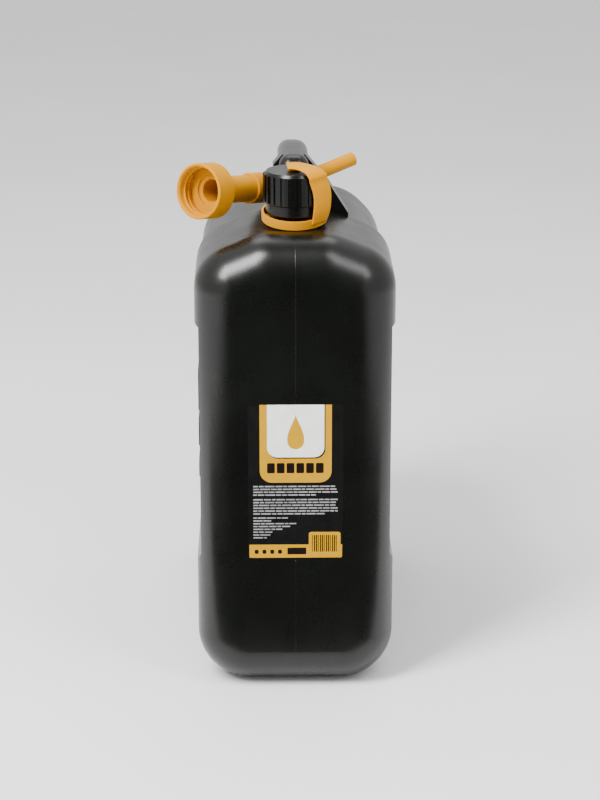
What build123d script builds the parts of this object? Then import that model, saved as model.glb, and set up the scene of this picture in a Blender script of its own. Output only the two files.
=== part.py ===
"""Jerry can for 25 litres: blow-moulded tank, screw cap with its retainer, and a pouring spout.

Millimetres. The origin is the centre of the tank's base, the neck is at the -Y end, +Z is up.
"""

import os
from math import cos, radians, sin

from build123d import *

os.makedirs("parts", exist_ok=True)

# ---------------------------------------------------------------- driving dimensions

# Tank
WIDTH = 179.0
DEPTH = 385.0
WALL = 2.3
NECK_DECK = 421.8  # raised top round the neck
REAR_DECK = 395.0  # lower top under the handle
NECK_SHOULDER = (31.0, 24.0, 38.0, 52.0)  # deck's half width, drop to the side, two radii
REAR_SHOULDER = (54.5, 36.0, 52.0, 52.0)
FOOT_RADIUS = 48.0  # lower side edges
FACE_RADIUS = 37.0  # rounding of the front and rear faces
STEP_LENGTH = 46.0  # run of the slope from the neck deck down to the rear deck
STEP_SECTIONS = 7
PANEL_DEPTH = 3.7  # recess in each side
PANEL_LOW = 117.0
PANEL_HIGH = 341.0
PANEL_SLOPE = 9.0
BAR_PROUD = 1.8  # raised bars in the left side's recess
BAR_LENGTH = 270.0
BARS = [(185.0, 205.0), (215.0, 243.0), (249.0, 290.0)]

# Handle
HANDLE_WIDTH = 27.5
HANDLE_TOP = 474.5
HANDLE_THICK = 27.0
HANDLE_ROUND = 11.0
HANDLE_WALL = 2.6
# Ends of the level grip, of the falling part behind it and of the rear foot, from the tank's front
HANDLE_LEVEL = 186.0
HANDLE_BACK = 318.0
HANDLE_FALL = 26.0
HANDLE_END = 360.0
POST_SETBACK = 106.0  # front of the handle's post, from the tank's front
WEB_THICK = 18.0
WEB_OVERLAP = 6.5  # how far the web reaches into the post

# Neck, and the thread that the cap and the spout's collar share
NECK_SETBACK = 69.0
NECK_TOP = 465.5
NECK_RADIUS = 19.8
NECK_BORE = 17.3
THREAD_PITCH = 5.0
THREAD_TURNS = 1.75
THREAD_CREST = 21.4
NUT_ROOT = 21.9
NUT_CREST = 20.3
RIDGE_HALF = 1.0
BEAD_RADIUS = 22.6
BEAD_Z = 442.4

# Cap
CAP_LOW = 432.6
CAP_TOP = 470.4
CAP_RADIUS = 28.1
CAP_FLUTE_RADIUS = 26.7
CAP_SKIRT_RADIUS = 25.8
CAP_RIB_LOW = 443.4
CAP_RIBS = 24
CAP_PLATE = 2.5
SKIRT_BORE = 24.0

# Cap retainer
RING_RADIUS = 29.4
RING_BORE = 27.6
RING_HEIGHT = 7.7
RING_WEB = 1.2
RING_WEB_BORE = 21.3
RING_TILT = 8.8  # lower towards the front
RING_Z = 426.9
STRAP_THICK = 1.7
BUTTON_STEM = 2.4
BUTTON_HOLE = 2.5

# Spout: the collar's rim, the bend of the nozzle and its tip
RIM = Vector(-85.7, -124.5, 451.6)
BEND = Vector(-6.0, -21.5, 433.7)
TIP = Vector(57.0, 20.0, 450.5)
COLLAR_RADIUS = 25.0
COLLAR_LENGTH = 23.0
COLLAR_FLOOR = 3.2
STUB_RADIUS = 12.25
STUB_BORE = 10.2
STUB_END = 92.0
SOCKET_RADIUS = 14.0
SOCKET_BORE = 12.32
SOCKET_MOUTH = 72.0
SOCKET_END = 100.0
TUBE_RADIUS = 6.5
TUBE_BORE = 4.9
TAPER_END = 116.0
BEND_RADIUS = 25.0
SPOUT_CLEARANCE = 2.5

# Label
LABEL_WIDTH = 85.0
LABEL_LOW = 129.0
LABEL_HIGH = 275.0
LABEL_THICK = 0.25

FRONT = -DEPTH / 2
REAR = DEPTH / 2
NECK_Y = FRONT + NECK_SETBACK
POST_FRONT = FRONT + POST_SETBACK
POST_BACK = POST_FRONT + HANDLE_THICK
STEP_START = POST_BACK - 4.0
STEP_END = STEP_START + STEP_LENGTH
SPOUT_AXIS = (BEND - RIM).normalized()
NECK_AXIS = Axis((0, NECK_Y, 0), (0, 0, 1))


# ---------------------------------------------------------------- shared shapes


def across(y):
    """The plane of a cross-section at y."""
    return Plane.XZ.offset(-y)


def arch(y, low, deck, shoulder, inset):
    """The tank's cross-section at y, from height low up to its deck, less the inset."""
    half = WIDTH / 2 - inset
    foot = FOOT_RADIUS - inset if low < FOOT_RADIUS else 0
    deck_half, drop, side_radius, deck_radius = shoulder
    deck_half -= inset / 3
    side_radius -= inset
    deck_radius -= inset
    corners = [(half, low), (half, deck - drop), (deck_half, deck)]
    mirrored = [(-x, z) for x, z in reversed(corners)]
    radii = [foot, side_radius, deck_radius, deck_radius, side_radius, foot]
    with BuildSketch(across(y)) as section:
        with BuildLine():
            FilletPolyline(*corners, *mirrored, radius=radii, close=True)
        make_face()
    return section.sketch


def tank_form(inset):
    """The tank's outside, or its hollow when inset is the wall."""
    neck_deck = NECK_DECK - inset
    rear_deck = REAR_DECK - inset
    rounding = FACE_RADIUS - inset
    front_section = arch(FRONT + inset, inset, neck_deck, NECK_SHOULDER, inset)
    rear_section = arch(STEP_END, inset, rear_deck, REAR_SHOULDER, inset)
    slope = []
    for index in range(STEP_SECTIONS):
        along = index / (STEP_SECTIONS - 1)
        share = along * along * (3 - 2 * along)
        deck = neck_deck + (rear_deck - neck_deck) * share
        shoulder = [a + (b - a) * share for a, b in zip(NECK_SHOULDER, REAR_SHOULDER)]
        slope.append(arch(STEP_START + STEP_LENGTH * along, 180 + inset, deck, shoulder, inset))
    with BuildPart() as form:
        extrude(front_section, amount=-(STEP_START - FRONT - inset))
        extrude(rear_section, amount=-(REAR - inset - STEP_END))
        loft(slope)
        with BuildSketch(across(STEP_START)):
            with BuildLine():
                half = WIDTH / 2 - inset
                foot = FOOT_RADIUS - inset
                corners = [(-half, inset), (half, inset), (half, 180 + inset), (-half, 180 + inset)]
                FilletPolyline(*corners, radius=[foot, foot, 0, 0], close=True)
            make_face()
        extrude(amount=-STEP_LENGTH)
        fillet(form.faces().sort_by(Axis.Y)[0].edges(), rounding)
        fillet(form.faces().sort_by(Axis.Y)[-1].edges(), rounding)
        panel_x = WIDTH / 2 - PANEL_DEPTH - inset
        with BuildSketch(across(FRONT)):
            for side in (-1, 1):
                with BuildLine():
                    Polyline(
                        (side * panel_x, PANEL_LOW - inset + PANEL_SLOPE),
                        (side * panel_x, PANEL_HIGH + inset - 1.5),
                        (side * (WIDTH / 2 + 1), PANEL_HIGH + inset + 0.5),
                        (side * (WIDTH / 2 + 1), PANEL_LOW - inset - 3),
                        close=True,
                    )
                make_face()
        extrude(amount=-DEPTH, mode=Mode.SUBTRACT)
    return form.part


def handle_form(inset):
    """The handle's outside, or its hollow."""
    half = HANDLE_WIDTH / 2 - inset
    top = HANDLE_TOP - inset
    under = HANDLE_TOP - HANDLE_THICK + inset
    root = REAR_DECK - 20.0
    with BuildPart() as form:
        with BuildSketch(Plane.YZ.offset(-half)):
            with BuildLine():
                FilletPolyline(
                    (POST_FRONT + inset, root),
                    (POST_FRONT + inset, top),
                    (FRONT + HANDLE_LEVEL, top),
                    (FRONT + HANDLE_BACK, top - HANDLE_FALL),
                    (FRONT + HANDLE_END - inset, root),
                    radius=[0, HANDLE_ROUND + 2.0 - inset / 2, 150.0, 35.0, 0],
                    close=True,
                )
            make_face()
            with BuildLine():
                FilletPolyline(
                    (POST_BACK - inset, root - 1),
                    (POST_BACK - inset, under),
                    (FRONT + HANDLE_LEVEL - 5.0, under),
                    (FRONT + HANDLE_BACK - 26.0, under - HANDLE_FALL + 4.5),
                    (FRONT + HANDLE_END - 42.0 + inset, root - 1),
                    radius=[0, 14.0, 120.0, 18.0, 0],
                    close=True,
                )
            make_face(mode=Mode.SUBTRACT)
        extrude(amount=2 * half)
        sides = form.faces().filter_by(Axis.X)
        fillet(sides.edges().filter_by(Axis.Y, reverse=True), HANDLE_ROUND - inset)
    return form.part


def beside(origin, direction):
    """A plane whose local X is the distance from an axis and whose local Y runs along it."""
    along = Vector(direction).normalized()
    out = Vector(0, 0, 1).cross(along)
    out = Vector(1, 0, 0) if out.length < 0.1 else out.normalized()
    return Plane(origin=origin, x_dir=out, z_dir=out.cross(along))


def thread_ridge(origin, direction, root, crest, turns):
    """A helical ridge from radius root to radius crest, one pitch along the axis for each turn."""
    along = Vector(direction).normalized()
    spine = Helix(
        pitch=THREAD_PITCH,
        height=THREAD_PITCH * turns,
        radius=(root + crest) / 2,
        center=origin,
        direction=along,
    )
    start = spine @ 0
    foot = Vector(origin) + along * (start - Vector(origin)).dot(along)
    out = (start - foot).normalized()
    middle = (root + crest) / 2
    with BuildPart() as ridge:
        with BuildSketch(Plane(origin=start, x_dir=out, z_dir=spine % 0)):
            Polygon(
                (root - middle, -RIDGE_HALF),
                (crest - middle, -RIDGE_HALF / 2),
                (crest - middle, RIDGE_HALF / 2),
                (root - middle, RIDGE_HALF),
                align=None,
            )
        sweep(path=spine, is_frenet=True)
    return ridge.part


def finish(piece, name):
    """Names a piece and writes it."""
    piece.part.label = name
    export_step(piece.part, f"parts/{name}.step")


# ---------------------------------------------------------------- tank

tank_outside = tank_form(0.0)
tank_hollow = tank_form(WALL)
handle_outside = handle_form(0.0)
handle_hollow = handle_form(HANDLE_WALL)
neck_thread = thread_ridge((0, NECK_Y, 450.0), (0, 0, 1), NECK_RADIUS - 0.3, THREAD_CREST, THREAD_TURNS)

with BuildPart() as can_body:
    add(tank_outside)
    add(handle_outside)
    # Web behind the post: its right foot spreads on to the shoulder, and the spout passes where its
    # left foot would be, so it ends there in a short flank
    with BuildSketch(across(POST_BACK - WEB_OVERLAP)):
        with BuildLine():
            Polyline(
                (-10.5, 472.5),
                (10.5, 472.5),
                (32.5, 445.5),
                (50.0, 418.0),
                (50.0, 395.0),
                (-12.5, 395.0),
                (-12.5, 456.0),
                (-19.0, 462.5),
                close=True,
            )
        make_face()
    extrude(amount=-WEB_THICK)
    with BuildSketch(Plane(origin=RIM + SPOUT_AXIS * 60, z_dir=SPOUT_AXIS)):
        Circle(SOCKET_RADIUS + SPOUT_CLEARANCE)
    extrude(amount=60, mode=Mode.SUBTRACT)
    # Raised bars on the left side
    with BuildSketch(Plane.YZ.offset(-WIDTH / 2 + PANEL_DEPTH)):
        for low, high in BARS:
            with Locations((0, (low + high) / 2)):
                RectangleRounded(BAR_LENGTH, high - low, 8.0)
    extrude(amount=-BAR_PROUD)
    add(tank_hollow, mode=Mode.SUBTRACT)
    add(handle_hollow, mode=Mode.SUBTRACT)
    # Neck, its bead and the bore down into the tank
    with BuildSketch(Plane(origin=(0, NECK_Y, 0), x_dir=(1, 0, 0), z_dir=(0, -1, 0))):
        with BuildLine():
            Polyline(
                (NECK_BORE, NECK_DECK - WALL),
                (NECK_RADIUS + 1.2, NECK_DECK - 0.1),
                (NECK_RADIUS, NECK_DECK + 1.2),
                (NECK_RADIUS, BEAD_Z - 1.6),
                (BEAD_RADIUS, BEAD_Z),
                (BEAD_RADIUS, BEAD_Z + 0.8),
                (NECK_RADIUS, BEAD_Z + 2.4),
                (NECK_RADIUS, NECK_TOP - 0.6),
                (NECK_RADIUS - 0.6, NECK_TOP),
                (NECK_BORE, NECK_TOP),
                close=True,
            )
        make_face()
    revolve(axis=NECK_AXIS)
    with BuildSketch(Plane((0, NECK_Y, NECK_DECK - WALL - 1))):
        Circle(NECK_BORE)
    extrude(amount=WALL + 2, mode=Mode.SUBTRACT)
    add(neck_thread)
finish(can_body, "can_body")

with BuildPart() as front_label:
    with BuildSketch(across(FRONT)):
        with Locations((0, (LABEL_LOW + LABEL_HIGH) / 2)):
            RectangleRounded(LABEL_WIDTH, LABEL_HIGH - LABEL_LOW, 1.5)
    extrude(amount=LABEL_THICK)
finish(front_label, "front_label")

# ---------------------------------------------------------------- cap and its gasket

cap_thread = thread_ridge(
    (0, NECK_Y, 450.0 - THREAD_PITCH / 2), (0, 0, 1), NUT_ROOT + 0.3, NUT_CREST, THREAD_TURNS
)

with BuildPart() as screw_cap:
    with BuildSketch(Plane(origin=(0, NECK_Y, 0), x_dir=(1, 0, 0), z_dir=(0, -1, 0))):
        with BuildLine():
            Polyline(
                (BUTTON_HOLE, CAP_TOP),
                (CAP_FLUTE_RADIUS - 1.6, CAP_TOP),
                (CAP_FLUTE_RADIUS, CAP_TOP - 2.4),
                (CAP_FLUTE_RADIUS, CAP_RIB_LOW - 0.6),
                (CAP_SKIRT_RADIUS, CAP_RIB_LOW - 1.8),
                (CAP_SKIRT_RADIUS, CAP_LOW + 0.8),
                (CAP_SKIRT_RADIUS - 0.8, CAP_LOW),
                (SKIRT_BORE, CAP_LOW),
                (SKIRT_BORE, 446.4),
                (NUT_ROOT, 447.6),
                (NUT_ROOT, CAP_TOP - CAP_PLATE),
                (BUTTON_HOLE, CAP_TOP - CAP_PLATE),
                close=True,
            )
        make_face()
    revolve(axis=NECK_AXIS)
    # Grip ribs
    with BuildSketch(Plane((0, NECK_Y, CAP_RIB_LOW))):
        with PolarLocations(CAP_FLUTE_RADIUS, CAP_RIBS):
            Rectangle(2 * (CAP_RADIUS - CAP_FLUTE_RADIUS), 3.0)
    extrude(amount=CAP_TOP - 2.6 - CAP_RIB_LOW)
    add(cap_thread)
finish(screw_cap, "screw_cap")

with BuildPart() as cap_gasket:
    with BuildSketch(Plane((0, NECK_Y, NECK_TOP + 0.3))):
        Circle(NUT_ROOT - 0.1)
        Circle(15.0, mode=Mode.SUBTRACT)
    extrude(amount=CAP_TOP - CAP_PLATE - NECK_TOP - 0.3)
finish(cap_gasket, "cap_gasket")

# ---------------------------------------------------------------- cap retainer

tilt = radians(RING_TILT)
ring_up = Vector(0, -sin(tilt), cos(tilt))
ring_centre = Vector(0, NECK_Y, RING_Z)
ring_plane = Plane(origin=ring_centre, x_dir=(1, 0, 0), z_dir=ring_up)

with BuildPart() as neck_ring:
    with BuildSketch(ring_plane):
        Circle(RING_RADIUS)
        Circle(RING_WEB_BORE, mode=Mode.SUBTRACT)
    extrude(amount=RING_WEB)
    with BuildSketch(ring_plane):
        Circle(RING_RADIUS)
        Circle(RING_BORE, mode=Mode.SUBTRACT)
    extrude(amount=RING_HEIGHT)
finish(neck_ring, "neck_ring")

# The strap's two long edges, from the ring up and over to the cap's centre, from the neck's axis
STRAP_EDGES = [
    (Vector(15.0, -26.2, 426.3), Vector(28.3, -13.5, 428.0)),
    (Vector(16.4, -25.8, 438.0), Vector(31.2, -15.7, 438.0)),
    (Vector(16.8, -25.6, 448.0), Vector(32.2, -15.7, 449.0)),
    (Vector(15.6, -26.4, 456.5), Vector(31.4, -15.4, 458.0)),
    (Vector(13.2, -27.6, 464.0), Vector(28.8, -14.8, 466.0)),
    (Vector(12.4, -28.8, 468.4), Vector(27.8, -15.2, 470.4)),
    (Vector(9.2, -26.2, 472.8), Vector(22.8, -12.0, 474.2)),
    (Vector(4.6, -19.6, 474.0), Vector(15.0, -2.0, 475.0)),
    (Vector(-0.5, -13.0, 474.0), Vector(3.0, 9.0, 475.1)),
    (Vector(-6.0, -11.0, 473.8), Vector(-7.3, 7.5, 474.8)),
]


def strap_plane(index):
    """The plane of one of the strap's cross-sections, square to its run."""
    middles = [(inner + outer) / 2 for inner, outer in STRAP_EDGES]
    last = len(STRAP_EDGES) - 1
    run = (middles[min(index + 1, last)] - middles[max(index - 1, 0)]).normalized()
    inner, outer = STRAP_EDGES[index]
    breadth = outer - inner
    square = (breadth - run * breadth.dot(run)).normalized()
    return Plane(origin=middles[index] + Vector(0, NECK_Y, 0), x_dir=square, z_dir=run)


with BuildPart() as cap_strap:
    for index, (inner_edge, outer_edge) in enumerate(STRAP_EDGES):
        with BuildSketch(strap_plane(index)):
            Rectangle((outer_edge - inner_edge).length, STRAP_THICK)
    loft(ruled=True)
finish(cap_strap, "cap_strap")

with BuildPart() as strap_button:
    with BuildSketch(Plane(origin=(0, NECK_Y, 0), x_dir=(1, 0, 0), z_dir=(0, -1, 0))):
        with BuildLine():
            Polyline(
                (0, CAP_TOP + 1.4),
                (5.5, CAP_TOP + 1.4),
                (5.5, CAP_TOP + 0.3),
                (BUTTON_STEM, CAP_TOP + 0.3),
                (BUTTON_STEM, CAP_TOP - 2.8),
                (3.6, CAP_TOP - 2.8),
                (2.0, CAP_TOP - 5.4),
                (0, CAP_TOP - 5.4),
                close=True,
            )
        make_face()
    revolve(axis=NECK_AXIS)
finish(strap_button, "strap_button")

# ---------------------------------------------------------------- spout

spout_side = beside(RIM, SPOUT_AXIS)
spout_line = Axis(RIM, SPOUT_AXIS)
collar_thread = thread_ridge(RIM + SPOUT_AXIS * 5.0, SPOUT_AXIS, NUT_ROOT + 0.3, NUT_CREST, 1.6)

with BuildPart() as spout_collar:
    with BuildSketch(spout_side):
        with BuildLine():
            Polyline(
                (COLLAR_RADIUS - 0.8, 0),
                (COLLAR_RADIUS, 0.8),
                (COLLAR_RADIUS, COLLAR_LENGTH - 2.0),
                (COLLAR_RADIUS - 2.0, COLLAR_LENGTH),
                (STUB_RADIUS, COLLAR_LENGTH),
                (STUB_RADIUS, STUB_END - 1.0),
                (STUB_RADIUS - 1.0, STUB_END),
                (STUB_BORE, STUB_END),
                (STUB_BORE, COLLAR_LENGTH - COLLAR_FLOOR),
                (NUT_ROOT, COLLAR_LENGTH - COLLAR_FLOOR),
                (NUT_ROOT, 1.6),
                (NUT_ROOT + 1.0, 0),
                close=True,
            )
        make_face()
    revolve(axis=spout_line)
    add(collar_thread)
finish(spout_collar, "spout_collar")

with BuildPart() as spout_gasket:
    gasket_foot = RIM + SPOUT_AXIS * (COLLAR_LENGTH - COLLAR_FLOOR - 2.0)
    with BuildSketch(Plane(origin=gasket_foot, z_dir=SPOUT_AXIS)):
        Circle(NUT_ROOT - 0.1)
        Circle(14.5, mode=Mode.SUBTRACT)
    extrude(amount=2.0)
finish(spout_gasket, "spout_gasket")

tube_start = RIM + SPOUT_AXIS * TAPER_END
with BuildLine() as tube_path:
    FilletPolyline(tube_start, BEND, TIP, radius=BEND_RADIUS)
with BuildLine() as bore_path:
    FilletPolyline(tube_start, BEND, TIP + (TIP - BEND).normalized(), radius=BEND_RADIUS)

with BuildPart() as spout_nozzle:
    with BuildSketch(spout_side):
        with BuildLine():
            Polyline(
                (0, SOCKET_MOUTH),
                (SOCKET_RADIUS - 0.6, SOCKET_MOUTH),
                (SOCKET_RADIUS, SOCKET_MOUTH + 0.6),
                (SOCKET_RADIUS, SOCKET_END),
                (TUBE_RADIUS, TAPER_END),
                (0, TAPER_END),
                close=True,
            )
        make_face()
    revolve(axis=spout_line)
    with BuildSketch(Plane(origin=tube_start, z_dir=SPOUT_AXIS)):
        Circle(TUBE_RADIUS)
    sweep(path=tube_path.line)
    with BuildSketch(spout_side):
        with BuildLine():
            Polyline(
                (0, SOCKET_MOUTH - 1),
                (SOCKET_BORE, SOCKET_MOUTH - 1),
                (SOCKET_BORE, STUB_END + 1.0),
                (STUB_BORE, STUB_END + 1.0),
                (STUB_BORE, SOCKET_END),
                (TUBE_BORE, TAPER_END),
                (0, TAPER_END),
                close=True,
            )
        make_face()
    revolve(axis=spout_line, mode=Mode.SUBTRACT)
    with BuildSketch(Plane(origin=tube_start, z_dir=SPOUT_AXIS)):
        Circle(TUBE_BORE)
    sweep(path=bore_path.line, mode=Mode.SUBTRACT)
finish(spout_nozzle, "spout_nozzle")
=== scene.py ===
"""Jerry can with screw cap, retainer strap and stowed spout: finishes, label print, strap and studio."""

from math import cos, pi, radians, sin

import bmesh
import bpy
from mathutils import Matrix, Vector
from mathutils.bvhtree import BVHTree


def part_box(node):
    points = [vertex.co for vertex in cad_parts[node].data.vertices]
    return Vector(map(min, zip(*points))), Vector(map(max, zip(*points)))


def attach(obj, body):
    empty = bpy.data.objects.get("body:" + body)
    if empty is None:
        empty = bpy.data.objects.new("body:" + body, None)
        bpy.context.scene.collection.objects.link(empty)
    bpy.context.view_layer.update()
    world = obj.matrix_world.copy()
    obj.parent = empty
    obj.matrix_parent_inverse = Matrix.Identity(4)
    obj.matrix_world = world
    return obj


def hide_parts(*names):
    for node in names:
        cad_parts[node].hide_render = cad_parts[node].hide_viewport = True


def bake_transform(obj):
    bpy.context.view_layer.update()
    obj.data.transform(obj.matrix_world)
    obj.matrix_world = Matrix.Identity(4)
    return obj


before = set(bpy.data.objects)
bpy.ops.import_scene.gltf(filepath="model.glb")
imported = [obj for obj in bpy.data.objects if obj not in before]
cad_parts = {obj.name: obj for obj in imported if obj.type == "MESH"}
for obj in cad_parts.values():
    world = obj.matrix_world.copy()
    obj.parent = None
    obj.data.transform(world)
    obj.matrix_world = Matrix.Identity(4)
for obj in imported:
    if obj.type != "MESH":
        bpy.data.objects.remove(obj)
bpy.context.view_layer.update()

MM = 0.001
UP = Vector((0, 0, 1))

can_low, can_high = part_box("can_body")
label_low, label_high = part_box("front_label")
cap_low, cap_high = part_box("screw_cap")
cap_x = (cap_low.x + cap_high.x) / 2
cap_y = (cap_low.y + cap_high.y) / 2


# ---------------------------------------------------------------- mesh helpers


def new_object(name, bm, material, smooth=True):
    """An object from a bmesh, which is used up."""
    bmesh.ops.recalc_face_normals(bm, faces=bm.faces)
    mesh = bpy.data.meshes.new(name)
    bm.to_mesh(mesh)
    bm.free()
    for polygon in mesh.polygons:
        polygon.use_smooth = smooth
    mesh.materials.append(material)
    made = bpy.data.objects.new(name, mesh)
    bpy.context.scene.collection.objects.link(made)
    return made


def loft_rings(bm, rings):
    """Skins a run of closed rings that have the same number of points, and caps both ends."""
    rows = [[bm.verts.new(point) for point in ring] for ring in rings]
    count = len(rows[0])
    for row, following in zip(rows, rows[1:]):
        for index in range(count):
            after = (index + 1) % count
            bm.faces.new((row[index], row[after], following[after], following[index]))
    bm.faces.new(rows[0])
    bm.faces.new(rows[-1])


def smooth_between(points, steps):
    """Points on a Catmull-Rom curve through the given ones."""
    padded = [points[0] * 2 - points[1], *points, points[-1] * 2 - points[-2]]
    curve = []
    for a, b, c, d in zip(padded, padded[1:], padded[2:], padded[3:]):
        for step in range(steps):
            t = step / steps
            curve.append(
                0.5
                * (
                    2 * b
                    + (c - a) * t
                    + (2 * a - 5 * b + 4 * c - d) * t**2
                    + (3 * b - a - 3 * c + d) * t**3
                )
            )
    curve.append(points[-1])
    return curve


# ---------------------------------------------------------------- materials


# Range of a noise texture's output that the finishes below spread over
NOISE_LOW = 0.3
NOISE_HIGH = 0.7


class Nodes:
    """A material's node tree, with short ways to add what the finishes here use."""

    def __init__(self, name):
        self.material = bpy.data.materials.new(name)
        self.material.use_nodes = True
        self.tree = self.material.node_tree
        self.shader = self.tree.nodes["Principled BSDF"]
        self.place = self.tree.nodes.new("ShaderNodeTexCoord").outputs["Object"]

    def link(self, output, socket):
        self.tree.links.new(output, socket)

    def noise(self, scale, detail=3.0):
        node = self.tree.nodes.new("ShaderNodeTexNoise")
        node.inputs["Scale"].default_value = scale
        node.inputs["Detail"].default_value = detail
        node.inputs["Roughness"].default_value = 0.55
        self.link(self.place, node.inputs["Vector"])
        return node.outputs["Fac"]

    def ranged(self, value, low, high):
        node = self.tree.nodes.new("ShaderNodeMapRange")
        node.inputs["From Min"].default_value = NOISE_LOW
        node.inputs["From Max"].default_value = NOISE_HIGH
        node.inputs["To Min"].default_value = low
        node.inputs["To Max"].default_value = high
        self.link(value, node.inputs["Value"])
        return node.outputs["Result"]

    def mixed(self, value, first, second):
        node = self.tree.nodes.new("ShaderNodeValToRGB")
        node.color_ramp.elements[0].position = NOISE_LOW
        node.color_ramp.elements[0].color = (*first, 1)
        node.color_ramp.elements[1].position = NOISE_HIGH
        node.color_ramp.elements[1].color = (*second, 1)
        self.link(value, node.inputs["Fac"])
        return node.outputs["Color"]

    def bump(self, layers):
        """Adds bump layers, each (height output, distance in metres, strength)."""
        normal = None
        for height, distance, strength in layers:
            node = self.tree.nodes.new("ShaderNodeBump")
            node.inputs["Distance"].default_value = distance
            node.inputs["Strength"].default_value = strength
            self.link(height, node.inputs["Height"])
            if normal is not None:
                self.link(normal, node.inputs["Normal"])
            normal = node.outputs["Normal"]
        self.link(normal, self.shader.inputs["Normal"])


def moulded(name, dark, light, rough_low, rough_high, wave=0.0003, specular=0.5):
    """Moulded plastic: slow colour drift, uneven gloss, a fine grain and a faint waviness."""
    nodes = Nodes(name)
    nodes.link(nodes.mixed(nodes.noise(14.0), dark, light), nodes.shader.inputs["Base Color"])
    gloss = nodes.ranged(nodes.noise(45.0, 2.0), rough_low, rough_high)
    nodes.link(gloss, nodes.shader.inputs["Roughness"])
    nodes.shader.inputs["Specular IOR Level"].default_value = specular
    nodes.shader.inputs["IOR"].default_value = 1.52
    grain = (nodes.noise(900.0, 2.0), 0.00006, 0.35)
    layers = [grain]
    if wave:
        layers.append((nodes.noise(11.0, 0.0), wave, 0.3))
    nodes.bump(layers)
    return nodes.material


def printed(name, colour, worn, roughness=0.3):
    """Ink on glossy film: slight unevenness in tone and gloss, no visible grain."""
    nodes = Nodes(name)
    nodes.link(nodes.mixed(nodes.noise(90.0, 4.0), worn, colour), nodes.shader.inputs["Base Color"])
    nodes.link(
        nodes.ranged(nodes.noise(220.0), roughness - 0.04, roughness + 0.06),
        nodes.shader.inputs["Roughness"],
    )
    nodes.shader.inputs["Specular IOR Level"].default_value = 0.15
    nodes.bump([(nodes.noise(500.0, 2.0), 0.00002, 0.2)])
    return nodes.material


tank_plastic = moulded(
    "tank_plastic", (0.0022, 0.0028, 0.0020), (0.0040, 0.0048, 0.0035), 0.26, 0.31, specular=0.4
)
cap_plastic = moulded(
    "cap_plastic", (0.0022, 0.0024, 0.0020), (0.0040, 0.0042, 0.0038), 0.24, 0.30, wave=0.0, specular=0.3
)
# Darker than the real plastic, because the render turns a bright yellow pale
YELLOW_DARK = (0.50, 0.20, 0.0)
YELLOW_LIGHT = (0.57, 0.24, 0.0)
retainer_plastic = moulded(
    "retainer_plastic", YELLOW_DARK, YELLOW_LIGHT, 0.34, 0.46, wave=0.00012, specular=0.05
)
spout_plastic = moulded(
    "spout_plastic", YELLOW_DARK, YELLOW_LIGHT, 0.30, 0.42, wave=0.00012, specular=0.05
)
seal_rubber = moulded("seal_rubber", (0.015, 0.015, 0.015), (0.03, 0.03, 0.03), 0.6, 0.8, wave=0.0)
label_film = printed("label_film", (0.0065, 0.0068, 0.0068), (0.0045, 0.0045, 0.0045), 0.34)
ink_yellow = printed("ink_yellow", (0.49, 0.255, 0.0), (0.44, 0.228, 0.0))
ink_white = printed("ink_white", (0.82, 0.82, 0.80), (0.72, 0.72, 0.70))
ink_dark = printed("ink_dark", (0.012, 0.006, 0.004), (0.008, 0.005, 0.004))
ink_grey = printed("ink_grey", (0.30, 0.30, 0.30), (0.20, 0.20, 0.20))

FINISHES = {
    "can_body": tank_plastic,
    "screw_cap": cap_plastic,
    "neck_ring": retainer_plastic,
    "strap_button": retainer_plastic,
    "spout_nozzle": spout_plastic,
    "spout_collar": spout_plastic,
    "cap_gasket": seal_rubber,
    "spout_gasket": spout_plastic,
    "front_label": label_film,
}
for node, material in FINISHES.items():
    for slot in bpy.data.objects[node].material_slots:
        slot.material = material


# ---------------------------------------------------------------- retainer strap

STRAP_THICK = 1.7 * MM
STRAP_STEPS = 7  # between two pairs of edge points
STRAP_ROUND_STEPS = 5  # round each of its edges

# The strap's two long edges in mm, from the ring up and over to the cap's centre. x and y run from the
# cap's axis
STRAP_EDGES = [
    ((15.0, -26.2, 426.3), (28.3, -13.5, 428.0)),
    ((16.4, -25.8, 438.0), (31.2, -15.7, 438.0)),
    ((16.8, -25.6, 448.0), (32.2, -15.7, 449.0)),
    ((15.6, -26.4, 456.5), (31.4, -15.4, 458.0)),
    ((13.2, -27.6, 464.0), (28.8, -14.8, 466.0)),
    ((12.4, -28.8, 468.4), (27.8, -15.2, 470.4)),
    ((9.2, -26.2, 472.8), (22.8, -12.0, 474.2)),
    ((4.6, -19.6, 474.0), (15.0, -2.0, 475.0)),
    ((-0.5, -13.0, 474.0), (3.0, 9.0, 475.1)),
    ((-6.0, -11.0, 473.8), (-7.3, 7.5, 474.8)),
]


def strap_section(inner, outer, normal):
    """A flat band's cross-section with rounded edges."""
    across = outer - inner
    width = across.length
    side = across.normalized()
    middle = (inner + outer) / 2
    half = STRAP_THICK / 2
    ring = []
    for centre, start in ((width / 2 - half, -pi / 2), (half - width / 2, pi / 2)):
        for step in range(STRAP_ROUND_STEPS + 1):
            angle = start + pi * step / STRAP_ROUND_STEPS
            ring.append(middle + side * (centre + half * cos(angle)) + normal * (half * sin(angle)))
    return ring


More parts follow.
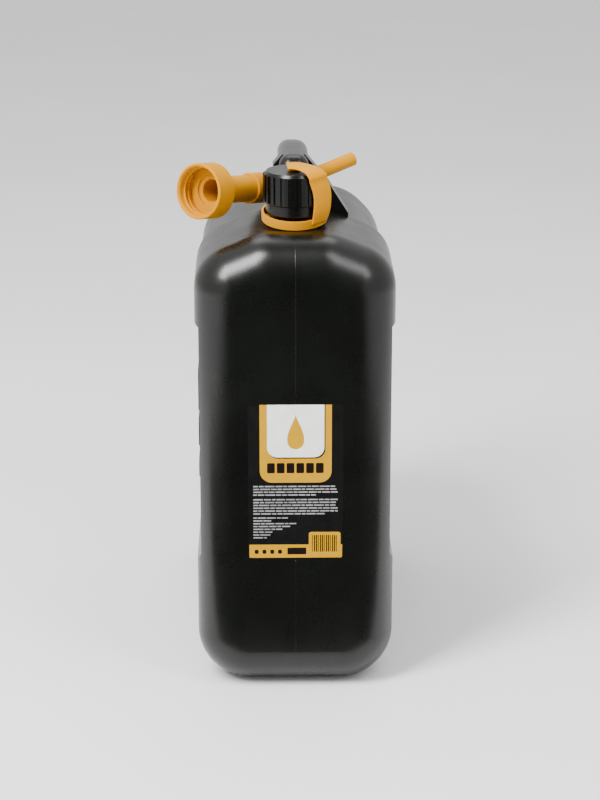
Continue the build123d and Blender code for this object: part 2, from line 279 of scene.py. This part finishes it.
def make_strap():
    """The moulded strap, which rides on the ring at its foot and on the button at its top."""
    axis = Vector((cap_x, cap_y, 0))
    inner = smooth_between([Vector(a) * MM + axis for a, _ in STRAP_EDGES], STRAP_STEPS)
    outer = smooth_between([Vector(b) * MM + axis for _, b in STRAP_EDGES], STRAP_STEPS)
    rings = []
    last = len(inner) - 1
    for index, (low, high) in enumerate(zip(inner, outer)):
        before = max(index - 1, 0)
        after = min(index + 1, last)
        run = (inner[after] + outer[after] - inner[before] - outer[before]).normalized()
        normal = run.cross(high - low).normalized()
        rings.append(strap_section(low, high, normal))
    bm = bmesh.new()
    loft_rings(bm, rings)
    strap = new_object("retainer_strap", bm, retainer_plastic)
    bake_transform(strap)
    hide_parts("cap_strap")


make_strap()


# ---------------------------------------------------------------- mould seam

SEAM_HALF = 0.5 * MM
SEAM_PROUD = 0.07 * MM
SEAM_BURIED = 0.15 * MM
SEAM_CREST = 0.4  # the crest's half width, as a share of the foot's
CORNER_IN = 0.045  # from the front or rear face to the centre of the fan round its rounded corner
FAN_RADIUS = 0.3


def surface_tree():
    """The tank's mesh, ready for rays."""
    mesh = bpy.data.objects["can_body"].data
    points = [vertex.co.copy() for vertex in mesh.vertices]
    return BVHTree.FromPolygons(points, [tuple(face.vertices) for face in mesh.polygons])


def seam_ridge(name, rays):
    """A thin raised line on the tank where the two mould halves met."""
    tree = surface_tree()
    rings = []
    for origin, direction in rays:
        point, normal, _, _ = tree.ray_cast(Vector(origin), Vector(direction).normalized())
        if point is None:
            continue
        normal = Vector((0, normal.y, normal.z)).normalized()
        if normal.dot(Vector(direction)) > 0:
            normal = -normal
        side = Vector((1, 0, 0))
        foot = point - normal * SEAM_BURIED
        crest = point + normal * SEAM_PROUD
        rings.append(
            [
                foot - side * SEAM_HALF,
                crest - side * SEAM_HALF * SEAM_CREST,
                crest + side * SEAM_HALF * SEAM_CREST,
                foot + side * SEAM_HALF,
            ]
        )
    bm = bmesh.new()
    loft_rings(bm, rings)
    seam = new_object(name, bm, tank_plastic)
    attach(seam, "can")


def fan(centre, start, end, count):
    """Rays aimed at a centre in the can's middle plane, from one elevation angle to another."""
    rays = []
    for step in range(count):
        angle = radians(start + (end - start) * step / (count - 1))
        out = Vector((0, cos(angle), sin(angle)))
        rays.append((Vector(centre) + out * FAN_RADIUS, -out))
    return rays


def level(y_sign, low, high, count):
    """Rays that run level into the front (-1) or the rear (1) face."""
    rays = []
    for step in range(count):
        z = low + (high - low) * step / (count - 1)
        rays.append((Vector((0, y_sign * 0.5, z)), Vector((0, -y_sign, 0))))
    return rays


def make_seams():
    front_top = (0, can_low.y + CORNER_IN, 0.36)
    seam_ridge(
        "seam_front_top",
        fan(front_top, 112, 180, 40) + level(-1, 0.359, label_high.z + 1.5 * MM, 20),
    )
    front_foot = (0, can_low.y + CORNER_IN, CORNER_IN)
    seam_ridge(
        "seam_front_foot",
        level(-1, label_low.z - 1.5 * MM, 0.046, 20) + fan(front_foot, 180, 262, 40),
    )
    handle_start = can_low.y + 0.110
    handle_run = 0.255
    steps = 119
    down = [
        (Vector((0, handle_start + handle_run * step / steps, 0.6)), -UP) for step in range(steps + 1)
    ]
    seam_ridge("seam_handle", down)
    rear_top = (0, can_high.y - CORNER_IN, 0.35)
    rear_foot = (0, can_high.y - CORNER_IN, CORNER_IN)
    seam_ridge(
        "seam_rear",
        fan(rear_top, 55, 0, 40) + level(1, 0.349, 0.046, 30) + fan(rear_foot, 0, -82, 40),
    )


make_seams()


# ---------------------------------------------------------------- label print

LAYER = 0.07 * MM  # between two layers of print
PRINT_BURIED = 0.02 * MM
BAR_GAP = 0.9  # between two bars in a row, in mm
SHORTEST_BAR = 2.0
LABEL_WIDTH = label_high.x - label_low.x
LABEL_HEIGHT = label_high.z - label_low.z


def rounded_outline(left, right, low, high, low_round, high_round=0.0, steps=8):
    """Corner points of a panel in (x, z) whose lower and upper corners may be rounded."""
    points = []
    corners = [
        (right, low, -1, 1, low_round, -90),
        (right, high, -1, -1, high_round, 0),
        (left, high, 1, -1, high_round, 90),
        (left, low, 1, 1, low_round, 180),
    ]
    for x, z, sx, sz, size, start in corners:
        if size <= 0:
            points.append((x, z))
            continue
        for step in range(steps + 1):
            angle = radians(start + 90 * step / steps)
            points.append((x + sx * size + size * cos(angle), z + sz * size + size * sin(angle)))
    return points


def print_panels(name, outlines, layer, material):
    """Flat printed shapes on the label. Places are in millimetres from its lower middle."""
    bm = bmesh.new()
    front = label_low.y
    near = front - LAYER * layer
    for outline in outlines:
        rings = [
            [Vector((x * MM, y, label_low.z + z * MM)) for x, z in outline]
            for y in (front + PRINT_BURIED, near)
        ]
        loft_rings(bm, rings)
    piece = new_object(name, bm, material, smooth=False)
    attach(piece, "can")


def text_bars(ends, left, top, pitch, height, seed):
    """Rows of plain bars of uneven length in place of lines of text, each row up to its own end."""
    bars = []
    for row, right in enumerate(ends):
        z = top - row * pitch
        x = left
        index = 0
        while x < right - SHORTEST_BAR:
            length = 3.0 + 6.0 * (0.5 + 0.5 * sin(seed * 3.7 + row * 2.3 + index * 1.9))
            end = min(x + length, right)
            bars.append(rounded_outline(x, end, z - height, z, 0.0))
            x = end + BAR_GAP
            index += 1
    return bars


def make_label_print():
    half = LABEL_WIDTH / MM / 2
    top = LABEL_HEIGHT / MM
    margin = 0.8
    panel_top = top - 0.6
    badge = rounded_outline(-32.0, 32.0, top - 73.5, panel_top, 11.0)
    band = rounded_outline(-half + margin, half - margin, margin, 13.4, 1.2)
    print_panels("label_yellow", [badge, band], 1, ink_yellow)
    tab = rounded_outline(11.8, 40.2, 2.0, 25.4, 0.0, 2.0)
    print_panels("label_tab", [tab], 2, ink_yellow)
    shadow = rounded_outline(-24.6, 26.4, top - 50.8, panel_top, 9.0)
    block_pitch = 8.7
    heading = [
        rounded_outline(
            -25.5 + block_pitch * index, -18.6 + block_pitch * index, top - 64.5, top - 55.0, 1.0, 1.0
        )
        for index in range(6)
    ]
    print_panels("label_dark", [shadow, *heading], 2, ink_dark)
    inset = rounded_outline(-25.4, 25.4, top - 49.6, panel_top, 9.0)
    print_panels("label_white", [inset], 3, ink_white)
    drop = []
    drop_steps = 48
    for step in range(drop_steps):
        angle = 2 * pi * step / drop_steps
        narrow = sin(angle / 2) ** 1.6
        drop.append((11.0 * sin(angle) * narrow, top - 26.0 + 16.0 * cos(angle)))
    print_panels("label_emblem", [drop], 4, ink_yellow)
    rows_left = -38.0
    rows_right = 37.5
    row_pitch = 2.7
    rows = text_bars([rows_right] * 3 + [18.0], rows_left, top - 76.5, row_pitch, 1.2, 1)
    rows += text_bars([rows_right] * 5 + [27.5], rows_left, top - 89.0, row_pitch, 1.2, 2)
    short_ends = [-7, -22, 2, -3, -12, -21, -21, -26]
    rows += text_bars(short_ends, rows_left, top - 106.5, row_pitch, 1.1, 3)
    print_panels("label_rows", rows, 1, ink_grey)
    marks = [rounded_outline(-37.0 + 7.0 * i, -33.4 + 7.0 * i, 4.6, 8.6, 1.4, 1.4) for i in range(4)]
    marks.append(rounded_outline(-7.5, 9.5, 4.0, 10.4, 0.8, 0.8))
    print_panels("label_marks", marks, 2, ink_dark)
    stripes = []
    for index in range(13):
        thick = 0.6 + 0.5 * abs(sin(2.1 * index))
        x = 14.6 + 1.8 * index
        stripes.append(rounded_outline(x, x + thick, 6.5, 22.5, 0.0))
    print_panels("label_stripes", stripes, 3, ink_dark)


make_label_print()


# ---------------------------------------------------------------- studio

ROOM_LIGHT = 1.0
LIT_POINT = Vector((0, -0.08, 0.3))


def add_plane(name, width, length, location, rotation, material):
    bm = bmesh.new()
    bmesh.ops.create_grid(bm, x_segments=1, y_segments=1, size=0.5)
    for vertex in bm.verts:
        vertex.co.x *= width
        vertex.co.y *= length
    made = new_object(name, bm, material, smooth=False)
    made.location = location
    made.rotation_euler = rotation
    return made


def add_softbox(name, azimuth, elevation, distance, width, height, power):
    """A rectangular light aimed at the can's upper middle. Azimuth runs from the front, to the right."""
    a = radians(azimuth)
    e = radians(elevation)
    out = Vector((sin(a) * cos(e), -cos(a) * cos(e), sin(e)))
    light = bpy.data.lights.new(name, "AREA")
    light.shape = "RECTANGLE"
    light.size = width
    light.size_y = height
    light.energy = power
    lamp = bpy.data.objects.new(name, light)
    lamp.location = LIT_POINT + out * distance
    lamp.rotation_euler = out.to_track_quat("Z", "Y").to_euler()
    bpy.context.scene.collection.objects.link(lamp)


def add_flag(name, width, length, location, rotation):
    """A black card that darkens reflections. It is out of the camera's sight."""
    black = Nodes(name + "_card")
    tone = black.mixed(black.noise(8.0), (0.006, 0.006, 0.006), (0.010, 0.010, 0.010))
    black.link(tone, black.shader.inputs["Base Color"])
    black.shader.inputs["Roughness"].default_value = 1.0
    flag = add_plane(name, width, length, location, rotation, black.material)
    flag.visible_camera = False
    flag.visible_shadow = False
    flag.visible_diffuse = False


def make_studio():
    paper = Nodes("studio_paper")
    tone = paper.mixed(paper.noise(3.0), (0.86, 0.86, 0.86), (0.90, 0.90, 0.90))
    paper.link(tone, paper.shader.inputs["Base Color"])
    paper.shader.inputs["Roughness"].default_value = 0.9
    add_plane("floor", 12.0, 12.0, (0, 0, can_low.z - 0.2 * MM), (0, 0, 0), paper.material)
    world = bpy.data.worlds.new("studio")
    world.use_nodes = True
    world.node_tree.nodes["Background"].inputs["Color"].default_value = (1, 1, 1, 1)
    world.node_tree.nodes["Background"].inputs["Strength"].default_value = ROOM_LIGHT
    bpy.context.scene.world = world
    add_flag("flag_low", 1.5, 1.4, (0, -0.95, 0.004), (0, 0, 0))
    add_flag("flag_front", 1.4, 3.8, (0, -1.65, 1.9), (pi / 2, 0, 0))
    add_flag("flag_top", 1.4, 1.9, (0, -0.85, 3.2), (0, 0, 0))
    add_softbox("softbox_left", -43, 49, 1.9, 0.55, 1.15, 74)
    add_softbox("softbox_right", 43, 49, 1.9, 0.45, 1.1, 14)
    add_softbox("overhead", 180, 62, 2.4, 1.8, 1.0, 18)


make_studio()

# ---------------------------------------------------------------- camera

camera_data = bpy.data.cameras.new("camera")
camera_data.lens = 104.445
camera_data.sensor_width = 36.0
camera_data.clip_end = 50.0
camera = bpy.data.objects.new("camera", camera_data)
camera.location = (-0.0268, -2.1425, 0.900)
camera.rotation_euler = (radians(72.33), 0, radians(-0.9))
bpy.context.scene.collection.objects.link(camera)
bpy.context.scene.camera = camera
